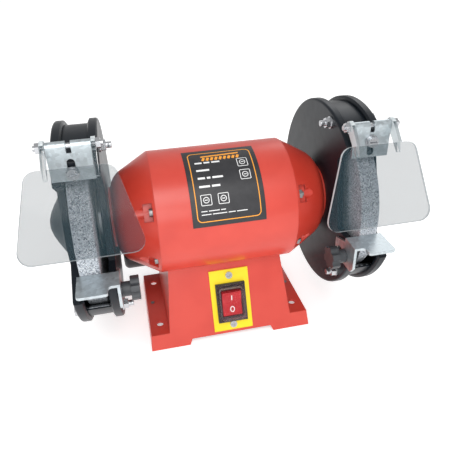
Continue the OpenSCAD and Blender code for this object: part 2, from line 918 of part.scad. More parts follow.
module guard_inner() {
    hub_hole = bearing_bore_r + 3;
    band_start = guard_x + rim_w - guard_wall;
    band_end = cover_x - rim_w + guard_wall + 1.4;
    difference() {
        union() {
            difference() {
                turned(at_x(concat(rim_outline(hub_hole), rim_inside(hub_hole)), guard_x, 1));
                inner_window(guard_x - cut, guard_x + guard_w);
            }
            window_lip(guard_x, guard_x + lip_w, inner_window_edge);
            difference() {
                turned([
                    [band_r - guard_wall, band_start], [band_r, band_start],
                    [band_r, band_end], [band_r - guard_wall, band_end]
                ]);
                wedge(guard_x, cover_x, -band_low, band_top);
            }
            guard_tab();
        }
        for (a = guard_bolt_angles)
            rod_at(guard_bolt_pcr, a, guard_x - cut, guard_x + rim_w, guard_bolt_r, 24);
        for (a = [45:90:315])
            rod_at(mount_screw_pcr, a, guard_x - cut, guard_x + rim_w, mount_screw_r, 24);
        rod_x(guard_x - cut, guard_x + rim_w, -knob_forward, axis_z - knob_drop, stud_hole_r);
        rod_y(station_x, -tab_front - cut, -tab_front + tab_t + cut, plate_screw_z, plate_screw_r, 24);
    }
}

// Tab that carries the spark plate, bent up from the front end of the band
module guard_tab() {
    low = axis_z + band_r * sin(band_top) - guard_wall;
    back = band_r * cos(band_top) - 2.5;
    box([station_x - tab_w / 2, -tab_front, low], [station_x + tab_w / 2, -back, low + tab_t]);
    box([station_x - tab_w / 2, -tab_front, low], [station_x + tab_w / 2, -tab_front + tab_t, tab_top]);
}

// Height of the dome, from 0 at its foot to 1 at its crown
function dome_shape(t) = (1 - cos(180 * t)) / 2;

module guard_cover() {
    face = at_x(rim_outline(dome_r), cover_x, -1);
    skin = [for (i = [0:8]) let (t = i / 8) [dome_r * (1 - t), cover_x + dome_h * dome_shape(t)]];
    inner = [for (i = [8:-1:0]) let (t = i / 8)
        [(dome_r - 0.6) * (1 - t), cover_x - guard_wall + dome_h * dome_shape(t)]];
    rim_in = at_x(rim_inside(dome_r), cover_x, -1);
    difference() {
        union() {
            turned(concat(
                [for (i = [len(face) - 1:-1:1]) face[i]],
                skin,
                inner,
                [for (i = [len(rim_in) - 2:-1:0]) rim_in[i]]
            ));
            window_lip(cover_x - lip_w, cover_x - guard_wall / 2, cover_window_edge);
        }
        cover_window(cover_x - rim_w - cut, cover_x + dome_h + cut);
        for (a = guard_bolt_angles)
            rod_at(guard_bolt_pcr, a, cover_x - rim_w, cover_x + cut, guard_bolt_r, 24);
    }
}

module guard_bolts() {
    color(steel)
    both()
        for (a = guard_bolt_angles) {
            rod_at(guard_bolt_pcr, a, guard_x - guard_bolt_tail, cover_x + join, guard_bolt_r, 24);
            rod_at(guard_bolt_pcr, a, cover_x, cover_x + guard_bolt_head_h, 4.6, 6);
        }
}

module guard_bolt_nuts() {
    color(zinc)
    both()
        for (a = guard_bolt_angles)
            difference() {
                union() {
                    rod_at(guard_bolt_pcr, a, guard_x - guard_washer_t, guard_x, guard_washer_r);
                    rod_at(guard_bolt_pcr, a, guard_x - guard_washer_t - guard_nut_h,
                           guard_x - guard_washer_t + join, 4.6, 6);
                }
                rod_at(guard_bolt_pcr, a, guard_x - guard_bolt_tail, guard_x + cut, guard_bolt_r, 24);
            }
}

// Screws that hold the inner half of each guard on its bell
module guard_mount_screws() {
    color(steel)
    both()
        for (a = [45:90:315]) {
            rod_at(mount_screw_pcr, a, guard_x - mount_screw_len, guard_x + guard_wall + join,
                   mount_screw_r, 24);
            rod_at(mount_screw_pcr, a, guard_x + guard_wall, guard_x + guard_wall + mount_head_h,
                   mount_head_r);
        }
}

// ---------------------------------------------------------------- tool rests

module tool_rest() {
    z0 = rest_z - rest_t;
    difference() {
        union() {
            // plate: the full width at the back, and a narrower tongue in front
            translate([0, 0, z0])
                linear_extrude(height = rest_t)
                    polygon(concat(
                        [[arm_x, -rest_back], [rest_out_x, -rest_back]],
                        arc([rest_out_x - 3, -rest_front + 3], 3, 0, -90),
                        arc([rest_tongue_x + 2, -rest_front + 2], 2, -90, -180),
                        arc([rest_tongue_x - 3, -rest_step - 3], 3, 0, 90),
                        [[arm_x, -rest_step]]
                    ));
            // arm against the guard
            slab_x(arm_x, arm_out_x, [
                [-rest_step, rest_z], [-rest_back, rest_z], [-rest_back, rest_z - 4],
                [-arm_back, rest_z - 9], [-arm_back, z0 - arm_len + 4], [-arm_back - 3, z0 - arm_len],
                [-rest_step + 4, z0 - arm_len], [-rest_step, z0 - arm_len + 5]
            ]);
        }
        // adjusting slot
        slot_z = axis_z - knob_drop;
        slot_r = stud_r + 0.3;
        rod_x(arm_x - cut, arm_out_x + cut, -knob_forward - rest_in - 0.2, slot_z, slot_r);
        rod_x(arm_x - cut, arm_out_x + cut, -knob_forward + rest_travel + 0.2, slot_z, slot_r);
        box([arm_x - cut, -knob_forward - rest_in - 0.2, slot_z - slot_r],
            [arm_out_x + cut, -knob_forward + rest_travel + 0.2, slot_z + slot_r]);
    }
}

module rest_knob() {
    y = -knob_forward;
    z = axis_z - knob_drop;
    lobes = 6;
    difference() {
        union() {
            rod_x(knob_x - knob_hub_len, knob_x, y, z, knob_hub_r);
            difference() {
                rod_x(knob_x - knob_hub_len - knob_h, knob_x - knob_hub_len + join, y, z, knob_r, 48);
                for (i = [0:lobes - 1])
                    translate([0, y, z])
                        rotate([360 / lobes * i, 0, 0])
                            rod_x(knob_x - knob_hub_len - knob_h - cut, knob_x - knob_hub_len + cut / 2,
                                  knob_r + 1.2, 0, 3.2);
            }
        }
        // blind bore for the stud
        rod_x(stud_end_x - 0.5, knob_x + cut, y, z, stud_hole_r);
    }
}

// Fixed studs that the rests slide on and the knobs turn on, with their heads inside the guards
module rest_studs() {
    head_x = guard_x + guard_wall;
    color(zinc)
    both()
        union() {
            rod_x(head_x, head_x + stud_head_h, -knob_forward, axis_z - knob_drop, stud_head_r, 6);
            rod_x(stud_end_x, head_x + join, -knob_forward, axis_z - knob_drop, stud_r);
        }
}

// ---------------------------------------------------------------- eye shields

// A plate that slides on the guard's tab, with knuckles for the hinge rod
module spark_plate() {
    low = rod_z - plate_h;
    difference() {
        union() {
            box([station_x - plate_w / 2, -plate_front, low],
                [station_x + plate_w / 2, -plate_back, rod_z]);
            rod_x(station_x - plate_w / 2, station_x + plate_w / 2, -rod_forward, rod_z, knuckle_r, 48);
        }
        rod_x(station_x - plate_w, station_x + plate_w, -rod_forward, rod_z, rod_r, 48);
        box([station_x - knuckle_gap / 2, -plate_front - cut, rod_z - knuckle_r - 1],
            [station_x + knuckle_gap / 2, -rod_forward + knuckle_r + cut, rod_z + knuckle_r + cut]);
        for (z = [plate_slot_low, plate_screw_z])
            rod_y(station_x, -plate_front - cut, -plate_back + cut, z, plate_slot_r);
        box([station_x - plate_slot_r, -plate_front - cut, plate_slot_low],
            [station_x + plate_slot_r, -plate_back + cut, plate_screw_z]);
    }
}

// Screw, washer and nut that clamp each spark plate to its tab
module spark_plate_screws() {
    under_t = 1;
    head_front = plate_front + slide_gap + under_t;
    color(zinc)
    both() {
        rod_y(station_x, -head_front + join, -tab_front + tab_t + 4.6, plate_screw_z, plate_screw_r, 24);
        rod_y(station_x, -head_front, -head_front + under_t, plate_screw_z, 5, 32);
        difference() {
            rod_y(station_x, -head_front - 3, -head_front + join, plate_screw_z, 4.4, 32);
            box([station_x - 3.2, -head_front - 4, plate_screw_z - 0.6],
                [station_x + 3.2, -head_front - 1.6, plate_screw_z + 0.6]);
        }
        rod_y(station_x, -tab_front + tab_t, -tab_front + tab_t + 3, plate_screw_z, 4.4, 6);
    }
}

module hinge_rod() {
    rod_x(station_x - rod_half, station_x + rod_half, -rod_forward, rod_z, rod_r);
}

module hinge_nuts() {
    for (s = [-1, 1])
        translate([station_x, -rod_forward, rod_z])
            rotate([0, s * 90, 0])
                translate([0, 0, hinge_nut_in])
                    difference() {
                        cylinder(h = hinge_nut_h, r = hinge_nut_r, $fn = 6);
                        translate([0, 0, -cut])
                            cylinder(h = hinge_nut_h + 2 * cut, r = rod_r, $fn = 32);
                    }
}

// Clear panel that hangs from two ears on the rod
module eye_shield() {
    top_y = -rod_forward - shield_top[0];
    top_z = rod_z - shield_top[1];
    difference() {
        union() {
            translate([station_x, top_y, top_z])
                rotate([90 - shield_lean, 0, 0])
                    translate([0, 0, -shield_t / 2])
                        linear_extrude(height = shield_t) shield_outline();
            for (s = [-1, 1])
                translate([station_x + s * (ear_in + ear_t / 2), 0, 0]) ear();
        }
        rod_x(station_x - plate_w, station_x + plate_w, -rod_forward, rod_z, rod_r + turn_gap, 48);
    }
}

// Trapezoid with rounded corners, from its top edge downwards
module shield_outline() {
    r = shield_round;
    half = shield_top_w / 2;
    low = shield_low_w / 2;
    flare = atan((low - half) / shield_len);
    // distance of a corner's centre from the sloping side, along X
    side = r / cos(flare);
    top_c = [half + r * tan(flare) - side, -r];
    low_c = [low - r * tan(flare) - side, r - shield_len];
    polygon(concat(
        arc(top_c, r, flare, 90),
        arc([-top_c[0], top_c[1]], r, 90, 180 - flare),
        arc([-low_c[0], low_c[1]], r, 180 - flare, 270),
        arc(low_c, r, 270, 360 + flare)
    ));
}

module ear() {
    top_y = -rod_forward - shield_top[0];
    top_z = rod_z - shield_top[1];
    rod_x(-ear_t / 2, ear_t / 2, -rod_forward, rod_z, ear_r, 48);
    slab_x(-ear_t / 2, ear_t / 2, [
        [-rod_forward - 2, rod_z + ear_r * 0.9], [-rod_forward - 5, rod_z + ear_r * 0.2 + 2.4],
        [top_y - 0.6, top_z + 1], [top_y - 3.4, top_z - 8],
        [top_y + 0.6, top_z - 8.4], [-rod_forward - 0.5, rod_z - ear_r * 0.95]
    ]);
}

// The left spark plate and shield stand raised, as far as their slot allows
module raised() {
    translate([0, 0, raised_left]) children();
}

// ---------------------------------------------------------------- switch

// Opening that the switch's case passes through
module switch_opening(depth) {
    half_w = switch_case_w / 2 + switch_fit;
    half_len = switch_case_len / 2 + switch_fit;
    box([-half_w, -switch_plate_t - cut, -half_len], [half_w, depth, half_len]);
}

module switch_plate() {
    color([0.95, 0.78, 0.10])
    on_front(switch_x, switch_plate_mid)
    difference() {
        box([-switch_plate_w / 2, -switch_plate_t, -switch_plate_len / 2],
            [switch_plate_w / 2, 0, switch_plate_len / 2]);
        translate([0, 0, bezel_mid - switch_plate_mid]) switch_opening(cut);
        for (s = [-1, 1])
            rod_y(0, -switch_plate_t - cut, cut, s * switch_screw_at, switch_screw_r, 24);
    }
}

module switch_plate_screws() {
    color(zinc)
    on_front(switch_x, switch_plate_mid)
    for (s = [-1, 1])
        translate([0, 0, s * switch_screw_at])
            difference() {
                union() {
                    rod_y(0, -switch_plate_t - 1.8, -switch_plate_t, 0, switch_screw_head_r, 32);
                    rod_y(0, -switch_plate_t - join, base_wall + 3, 0, switch_screw_r, 24);
                }
                box([-2.2, -switch_plate_t - 2.6, -0.5], [2.2, -switch_plate_t - 0.8, 0.5]);
                box([-0.5, -switch_plate_t - 2.6, -2.2], [0.5, -switch_plate_t - 0.8, 2.2]);
            }
}

// Case with its bezel and the well that the rocker tips in
module switch_body() {
    color([0.07, 0.07, 0.08])
    on_front(switch_x, bezel_mid)
    difference() {
        union() {
            box([-bezel_w / 2, -switch_plate_t - bezel_t, -bezel_len / 2],
                [bezel_w / 2, -switch_plate_t, bezel_len / 2]);
            box([-switch_case_w / 2, -switch_plate_t - join, -switch_case_len / 2],
                [switch_case_w / 2, switch_case_depth, switch_case_len / 2]);
        }
        box([-rocker_w / 2 - 0.4, -switch_plate_t - bezel_t - cut, -rocker_len / 2 - 0.6],
            [rocker_w / 2 + 0.4, 9, rocker_len / 2 + 0.6]);
        rod_x(-trunnion_x - 0.2, trunnion_x + 0.2, rocker_pivot_in, 0, trunnion_r + turn_gap, 32);
    }
    color(steel)
    on_front(switch_x, bezel_mid)
    for (sx = [-1, 1], sz = [-1, 1])
        box([sx * 6 - 0.4, switch_case_depth - join, sz * 8 - 3],
            [sx * 6 + 0.4, switch_case_depth + 7, sz * 8 + 3]);
}

// Two faces that meet in a shallow valley, on a trunnion at each end
module switch_rocker() {
    face = switch_plate_t + bezel_t;
    half = rocker_len / 2;
    color([0.75, 0.06, 0.08])
    on_front(switch_x, bezel_mid)
    translate([0, rocker_pivot_in, 0])
    rotate([rocker_tilt, 0, 0])
    union() {
        slab_x(-rocker_w / 2, rocker_w / 2, [
            [-face - rocker_pivot_in - 1.6, half - 0.8], [-face - rocker_pivot_in + 0.2, 0],
            [-face - rocker_pivot_in - 1.6, -half + 0.8], [-1, -half + 0.8],
            [3, -4], [3, 4], [-1, half - 0.8]
        ]);
        rod_x(-trunnion_x, trunnion_x, 0, 0, trunnion_r, 32);
    }
}

// Clear flexible hood over the rocker
module switch_hood() {
    foot = -switch_plate_t - bezel_t;
    w = rocker_w + 5;
    h = rocker_len + 6;
    color([0.9, 0.9, 0.92, 0.35])
    on_front(switch_x, bezel_mid)
    difference() {
        translate([0, foot, 0]) rotate([90, 0, 0]) {
            linear_extrude(height = 1.2) rounded_rect(bezel_w - 2, bezel_len - 2, 2);
            linear_extrude(height = hood_h) rounded_rect(w, h, 3);
        }
        translate([0, foot + cut, 0]) rotate([90, 0, 0])
            linear_extrude(height = hood_h - hood_t + cut)
                rounded_rect(w - 2 * hood_t, h - 2 * hood_t, 2.4);
    }
}

// ---------------------------------------------------------------- capacitor

module capacitor() {
    len = cap_in_x - cap_out_x;
    color([0.06, 0.05, 0.06])
    on_back(cap_in_x, cap_up)
    translate([0, -cap_off, 0])
        rotate([0, -90, 0])
            rotate_extrude($fn = 64)
                polygon(concat(
                    [[0, 0], [cap_r, 0]],
                    arc([cap_r - cap_round, len - cap_round], cap_round, 0, 90, 5),
                    [[0, len]]
                ));
}

// Strap round the capacitor, with a foot on the back of the pedestal
module capacitor_clip() {
    outer_r = cap_r + clip_t;
    color(zinc)
    on_back(clip_x, cap_up)
    difference() {
        union() {
            rod_x(-clip_w / 2, clip_w / 2, -cap_off, 0, outer_r, 64);
            box([-clip_w / 2, -cap_off, outer_r - clip_t], [clip_w / 2, 0, outer_r]);
            box([-clip_w / 2, -clip_t, outer_r - clip_t], [clip_w / 2, 0, outer_r + clip_foot]);
        }
        rod_x(-clip_w, clip_w, -cap_off, 0, cap_r, 64);
        rod_y(0, -clip_t - cut, cut, clip_up - cap_up, clip_screw_r, 24);
    }
}

module capacitor_screws() {
    color(steel)
    on_back(clip_x, clip_up) {
        rod_y(0, -clip_t - 2, -clip_t, 0, 3.6, 32);
        rod_y(0, -clip_t - join, base_wall + 4, 0, clip_screw_r, 24);
    }
}

// ---------------------------------------------------------------- left and right

module end_bell_right() { color(red) end_bell(); }
module end_bell_left() { color(red) left() end_bell(); }
module inner_flange_right() { color(zinc) inner_flange(); }
module inner_flange_left() { color(zinc) left() inner_flange(); }
module grinding_wheel_right() { color(grit) grinding_wheel(); }
module grinding_wheel_left() { color(grit) left() grinding_wheel(); }
module outer_flange_right() { color(zinc) outer_flange(); }
module outer_flange_left() { color(zinc) left() outer_flange(); }
module wheel_nut_right() { color(steel) wheel_nut(); }
module wheel_nut_left() { color(steel) left() wheel_nut(); }
module guard_inner_right() { color(grey) guard_inner(); }
module guard_inner_left() { color(grey) left() guard_inner(); }
module guard_cover_right() { color(grey) guard_cover(); }
module guard_cover_left() { color(grey) left() guard_cover(); }
module tool_rest_right() { color(zinc) tool_rest(); }
module tool_rest_left() { color(zinc) left() tool_rest(); }
module rest_knob_right() { color([0.12, 0.12, 0.13]) rest_knob(); }
module rest_knob_left() { color([0.12, 0.12, 0.13]) left() rest_knob(); }
module spark_plate_right() { color(zinc) spark_plate(); }
module spark_plate_left() { color(zinc) raised() left() spark_plate(); }
module hinge_rod_right() { color(zinc) hinge_rod(); }
module hinge_rod_left() { color(zinc) raised() left() hinge_rod(); }
module hinge_nuts_right() { color(zinc) hinge_nuts(); }
module hinge_nuts_left() { color(zinc) raised() left() hinge_nuts(); }
module eye_shield_right() { color([0.85, 0.92, 0.92, 0.45]) eye_shield(); }
module eye_shield_left() { color([0.85, 0.92, 0.92, 0.45]) raised() left() eye_shield(); }

// ---------------------------------------------------------------- assembly

base_frame();
bottom_cover();
bottom_cover_screws();
cable_gland();
stator_shell();
end_bell_left();
end_bell_right();
tie_bolts();
tie_bolt_nuts();
stator_core();
stator_windings();
nameplate();
bearing_outer_rings();
bearing_inner_rings();
bearing_balls();
wave_washers();
rotor_shaft();
rotor_core();
rotor_cage();
inner_flange_left();
inner_flange_right();
wheel_blotters();
grinding_wheel_left();
grinding_wheel_right();
outer_flange_left();
outer_flange_right();
wheel_nut_left();
wheel_nut_right();
guard_inner_left();
guard_inner_right();
guard_cover_left();
guard_cover_right();
guard_bolts();
guard_bolt_nuts();
guard_mount_screws();
rest_studs();
tool_rest_left();
tool_rest_right();
rest_knob_left();
rest_knob_right();
spark_plate_left();
spark_plate_right();
spark_plate_screws();
hinge_rod_left();
hinge_rod_right();
hinge_nuts_left();
hinge_nuts_right();
eye_shield_left();
eye_shield_right();
switch_plate();
switch_plate_screws();
switch_body();
switch_rocker();
switch_hood();
capacitor();
capacitor_clip();
capacitor_screws();
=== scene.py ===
import math

import bmesh
import bpy
from mathutils import Matrix, Vector


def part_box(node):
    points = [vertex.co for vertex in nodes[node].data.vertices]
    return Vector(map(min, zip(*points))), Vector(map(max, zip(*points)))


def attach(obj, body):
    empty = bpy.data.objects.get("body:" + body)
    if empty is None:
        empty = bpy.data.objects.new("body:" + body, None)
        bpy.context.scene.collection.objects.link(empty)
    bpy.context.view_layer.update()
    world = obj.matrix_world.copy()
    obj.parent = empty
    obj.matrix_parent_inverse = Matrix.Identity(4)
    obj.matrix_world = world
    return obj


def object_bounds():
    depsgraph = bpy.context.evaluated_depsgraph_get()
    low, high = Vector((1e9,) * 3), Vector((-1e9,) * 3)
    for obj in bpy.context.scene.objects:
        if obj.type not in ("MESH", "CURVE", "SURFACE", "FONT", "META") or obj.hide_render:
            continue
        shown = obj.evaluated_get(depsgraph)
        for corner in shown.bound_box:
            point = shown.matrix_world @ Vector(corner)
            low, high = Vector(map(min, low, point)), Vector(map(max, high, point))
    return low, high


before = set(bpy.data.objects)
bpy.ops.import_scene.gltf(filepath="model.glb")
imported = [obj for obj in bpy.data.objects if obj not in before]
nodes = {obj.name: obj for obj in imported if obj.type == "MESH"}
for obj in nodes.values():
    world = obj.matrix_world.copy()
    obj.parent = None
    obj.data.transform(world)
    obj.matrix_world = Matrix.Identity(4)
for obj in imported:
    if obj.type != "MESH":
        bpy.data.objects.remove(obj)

# Looks of the bench grinder: the camera, the light, a procedural material for every CAD node, and the
# small printed details that ride on them. Everything is in metres, in the model's own frame.

MM = 0.001
cad_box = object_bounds()


# ------------------------------------------------------------------ camera, light and floor

CAMERA_PLACE = Vector((-75.5, -391.9, 331.2)) * MM
CAMERA_YAW = math.radians(11.86)
CAMERA_PITCH = math.radians(30.65)
CAMERA_ROLL = math.radians(-1.55)
CAMERA_LENS = 38.7  # mm, for a sensor 36 mm wide
CAMERA_SENSOR = 36
CAMERA_RANGE = (0.01, 20)  # nearest and farthest distance that it sees

LIGHT_SIZE = 0.7
# Each soft light: its place, the point that it looks at, and its power in watts.
LIGHTS = {
    "key": ((-0.1, -0.8, 1.1), (0, 0, 0.1), 5.5),
    "front": ((-0.2, -1.3, 0.6), (0, 0, 0.1), 5),
    "rim": ((0.7, 0.9, 0.9), (0, 0, 0.12), 2),
}
SURROUND_LIGHT = 0.62  # the strength of the surround's light on the object
SURROUND_SEEN = 1.05   # its strength where the camera sees it
FLOOR_RADIUS = 6
FLOOR_GAP = 0.2 * MM   # how far the floor lies under the object
FLOOR_GLOW = 0.46


def make_camera():
    data = bpy.data.cameras.new("camera")
    data.lens = CAMERA_LENS
    data.sensor_width = CAMERA_SENSOR
    data.clip_start, data.clip_end = CAMERA_RANGE
    camera = bpy.data.objects.new("camera", data)
    bpy.context.scene.collection.objects.link(camera)
    turn = Matrix.Rotation(-CAMERA_YAW, 4, "Z")
    tip = Matrix.Rotation(math.radians(90) - CAMERA_PITCH, 4, "X")
    roll = Matrix.Rotation(CAMERA_ROLL, 4, "Z")
    camera.matrix_world = Matrix.Translation(CAMERA_PLACE) @ turn @ tip @ roll
    bpy.context.scene.camera = camera


def make_area_light(name, place, target, power):
    data = bpy.data.lights.new(name, "AREA")
    data.shape = "DISK"
    data.size = LIGHT_SIZE
    data.energy = power
    light = bpy.data.objects.new(name, data)
    bpy.context.scene.collection.objects.link(light)
    light.location = place
    light.rotation_mode = "QUATERNION"
    light.rotation_quaternion = (Vector(target) - Vector(place)).to_track_quat("-Z", "Y")


def make_world():
    """Soft light from all round, from a surround that the camera sees as plain white."""
    world = bpy.data.worlds.new("studio")
    world.use_nodes = True
    tree = world.node_tree
    background = tree.nodes["Background"]
    background.inputs["Color"].default_value = (1, 1, 1, 1)
    path = tree.nodes.new("ShaderNodeLightPath")
    strength = tree.nodes.new("ShaderNodeMapRange")
    strength.inputs["To Min"].default_value = SURROUND_LIGHT
    strength.inputs["To Max"].default_value = SURROUND_SEEN
    tree.links.new(path.outputs["Is Camera Ray"], strength.inputs["Value"])
    tree.links.new(strength.outputs["Result"], background.inputs["Strength"])
    bpy.context.scene.world = world


def make_floor():
    mesh = bpy.data.meshes.new("floor")
    shape = bmesh.new()
    bmesh.ops.create_circle(shape, cap_ends=True, segments=64, radius=FLOOR_RADIUS)
    shape.to_mesh(mesh)
    shape.free()
    floor = bpy.data.objects.new("floor", mesh)
    floor.location.z = cad_box[0].z - FLOOR_GAP
    bpy.context.scene.collection.objects.link(floor)
    floor.data.materials.append(floor_material())


# ------------------------------------------------------------------ material building blocks

WAVE_TURN = 20  # Blender's wave texture turns this many radians in each unit of its coordinates


class Material:
    """A node material on one Principled shader, with short ways to add what these surfaces need."""

    def __init__(self, name, color, roughness, metallic=0.0, **sockets):
        self.material = bpy.data.materials.new(name)
        self.material.use_nodes = True
        self.tree = self.material.node_tree
        self.shader = self.tree.nodes["Principled BSDF"]
        self.set("Base Color", (*color, 1))
        self.set("Roughness", roughness)
        self.set("Metallic", metallic)
        for socket, value in sockets.items():
            self.set(socket.replace("_", " "), value)
        source = self.node("ShaderNodeTexCoord")
        self.coordinates = source.outputs["Object"]
        self.facing = source.outputs["Normal"]
        self.normal = None

    def set(self, socket, value):
        self.shader.inputs[socket].default_value = value

    def node(self, kind, **settings):
        made = self.tree.nodes.new(kind)
        for key, value in settings.items():
            if key in made.inputs:
                made.inputs[key].default_value = value
            else:
                setattr(made, key, value)
        return made

    def link(self, source, target):
        self.tree.links.new(source, target)

    def scaled(self, x, y, z):
        """The object's coordinates, stretched along each axis."""
        mapping = self.node("ShaderNodeMapping", Scale=(x, y, z))
        self.link(self.coordinates, mapping.inputs["Vector"])
        return mapping.outputs["Vector"]

    def noise(self, size, detail=3.0, vector=None):
        """Smooth noise whose spots are about this many metres across."""
        made = self.node("ShaderNodeTexNoise", Scale=1 / size, Detail=detail)
        self.link(vector or self.coordinates, made.inputs["Vector"])
        return made.outputs["Fac"]

    def cells(self, size, output="Distance"):
        """Irregular cells about this many metres across: the distance to their middles, or a colour each."""
        made = self.node("ShaderNodeTexVoronoi", Scale=1 / size)
        self.link(self.coordinates, made.inputs["Vector"])
        return made.outputs[output]

    def bands(self, step):
        """Waves along x that turn one radian in each step, so a whole wave is 2 pi steps long."""
        made = self.node("ShaderNodeTexWave", bands_direction="X", Scale=1 / (WAVE_TURN * step))
        self.link(self.coordinates, made.inputs["Vector"])
        return made.outputs["Fac"]

    def distance(self, value):
        """The size of a value, without its sign."""
        made = self.node("ShaderNodeMath", operation="ABSOLUTE")
        self.link(value, made.inputs[0])
        return made.outputs[0]

    def ramp(self, value, *stops):
        """Maps a value through (position, colour) stops."""
        made = self.node("ShaderNodeValToRGB")
        elements = made.color_ramp.elements
        while len(elements) < len(stops):
            elements.new(0.5)
        for element, (position, color) in zip(elements, stops):
            element.position = position
            element.color = (*color, 1)
        self.link(value, made.inputs["Fac"])
        return made.outputs["Color"]

    def between(self, value, low, high, start=0.0, end=1.0):
        """Maps start..end of a value to low..high."""
        made = self.node("ShaderNodeMapRange")
        made.inputs["From Min"].default_value = start
        made.inputs["From Max"].default_value = end
        made.inputs["To Min"].default_value = low
        made.inputs["To Max"].default_value = high
        self.link(value, made.inputs["Value"])
        return made.outputs["Result"]

    def color(self, source):
        self.link(source, self.shader.inputs["Base Color"])

    def roughness(self, value, low, high):
        self.link(self.between(value, low, high), self.shader.inputs["Roughness"])

    def round_edges(self, radius):
        """Softens the light along edges, as a real edge's small radius does."""
        bevel = self.node("ShaderNodeBevel", samples=4, Radius=radius)
        self.normal = bevel.outputs["Normal"]
        self.link(self.normal, self.shader.inputs["Normal"])

    def bump(self, height, strength, depth):
        """Adds relief on top of what the normal already has."""
        made = self.node("ShaderNodeBump", Strength=strength, Distance=depth)
        self.link(height, made.inputs["Height"])
        if self.normal:
            self.link(self.normal, made.inputs["Normal"])
        self.normal = made.outputs["Normal"]
        self.link(self.normal, self.shader.inputs["Normal"])


def floor_material():
    """Pale and plain, with a weak glow that lifts it towards the surround's white."""
    pale = (0.95, 0.95, 0.95)
    made = Material("floor", pale, 0.8, Emission_Color=(1, 1, 1, 1), Emission_Strength=FLOOR_GLOW)
    made.color(made.ramp(made.noise(0.4), (0.3, (0.94, 0.94, 0.94)), (0.7, (0.96, 0.96, 0.96))))
    return made.material


def paint(name, color, shade, roughness, coat=0.0, gloss=0.5):
    """Stoved paint on sheet metal: a slight orange peel, and a little unevenness in tone and gloss."""
    made = Material(name, color, roughness, Coat_Weight=coat, Coat_Roughness=0.25, Specular_IOR_Level=gloss)
    made.round_edges(0.7 * MM)
    tone = made.noise(28 * MM, 2.0)
    made.color(made.ramp(tone, (0.3, shade), (0.65, color)))
    made.roughness(made.noise(9 * MM), roughness - 0.06, roughness + 0.08)
    orange_peel = made.noise(1.1 * MM, 1.5)
    made.bump(orange_peel, 0.12, 0.05 * MM)
    return made.material


def zinc_plate(name, color, roughness):
    """Galvanised sheet: broad crystals that differ a little in tone, with fine rolling marks."""
    made = Material(name, color, roughness, metallic=0.85)
    made.round_edges(0.35 * MM)
    crystal = made.cells(2.6 * MM, "Color")
    dark = tuple(0.78 * c for c in color)
    made.color(made.ramp(crystal, (0.2, dark), (0.8, color)))
    made.roughness(crystal, roughness - 0.08, roughness + 0.1)
    lines = made.noise(0.5 * MM, 2.0, made.scaled(0.05, 1, 1))
    made.bump(lines, 0.1, 0.03 * MM)
    return made.material


def turned_metal(name, color, roughness):
    """Machined metal with fine rings round the spindle."""
    made = Material(name, color, roughness, metallic=1.0)
    made.round_edges(0.3 * MM)
    made.roughness(made.noise(3 * MM), roughness - 0.05, roughness + 0.1)
    made.bump(made.noise(0.25 * MM, 2.0, made.scaled(1, 0.04, 0.04)), 0.15, 0.02 * MM)
    return made.material


def moulded(name, color, roughness, grain=0.5 * MM, strength=0.25):
    """Moulded plastic with a fine spark-eroded grain."""
    made = Material(name, color, roughness)
    made.round_edges(0.5 * MM)
    light = tuple(min(1, 1.25 * c + 0.004) for c in color)
    made.color(made.ramp(made.noise(6 * MM), (0.35, color), (0.75, light)))
    made.roughness(made.noise(4 * MM), roughness - 0.05, roughness + 0.08)
    made.bump(made.noise(grain, 2.0), strength, 0.06 * MM)
    return made.material


def abrasive():
    """Vitrified grit: dark and bright grains in a pale bond, and pores between them."""
    made = Material("abrasive", (0.36, 0.40, 0.45), 0.85)
    grains = made.cells(0.85 * MM, "Color")
    pores = made.cells(1.1 * MM)
    patches = made.noise(14 * MM, 3.0)
    speckle = made.ramp(
        grains,
        (0.1, (0.13, 0.15, 0.18)),
        (0.35, (0.48, 0.52, 0.57)),
        (0.7, (0.66, 0.70, 0.75)),
        (0.93, (0.95, 0.97, 0.98)))
    mix = made.node("ShaderNodeMix", data_type="RGBA", blend_type="MULTIPLY")
    mix.inputs["Factor"].default_value = 0.5
    made.link(speckle, mix.inputs["A"])
    made.link(made.ramp(patches, (0.3, (0.75, 0.77, 0.8)), (0.7, (1, 1, 1))), mix.inputs["B"])
    made.color(mix.outputs["Result"])
    made.bump(pores, 0.9, 0.35 * MM)
    made.bump(made.noise(0.5 * MM, 4.0), 0.8, 0.25 * MM)
    return made.material


def paper():
    """Soft pale card with fibres in it."""
    made = Material("blotter", (0.78, 0.79, 0.76), 0.85)
    fibre = made.noise(1.2 * MM, 5.0)
    made.color(made.ramp(fibre, (0.3, (0.68, 0.69, 0.66)), (0.7, (0.84, 0.85, 0.82))))
    made.bump(fibre, 0.2, 0.05 * MM)
    return made.material


def laminations():
    """Stacked sheets across the spindle."""
    made = Material("laminations", (0.30, 0.31, 0.34), 0.45, metallic=0.9)
    made.bump(made.bands(0.5 * MM), 0.5, 0.1 * MM)
    made.color(made.ramp(made.noise(12 * MM), (0.3, (0.24, 0.24, 0.26)), (0.7, (0.34, 0.34, 0.37))))
    return made.material


def copper():
    """Varnished wire, laid round the spindle."""
    made = Material("copper", (0.45, 0.16, 0.05), 0.35, metallic=0.7, Coat_Weight=0.4)
    made.bump(made.noise(0.9 * MM, 1.0, made.scaled(1, 0.12, 0.12)), 0.8, 0.4 * MM)
    made.color(made.ramp(made.noise(7 * MM), (0.3, (0.36, 0.11, 0.03)), (0.7, (0.55, 0.21, 0.07))))
    return made.material


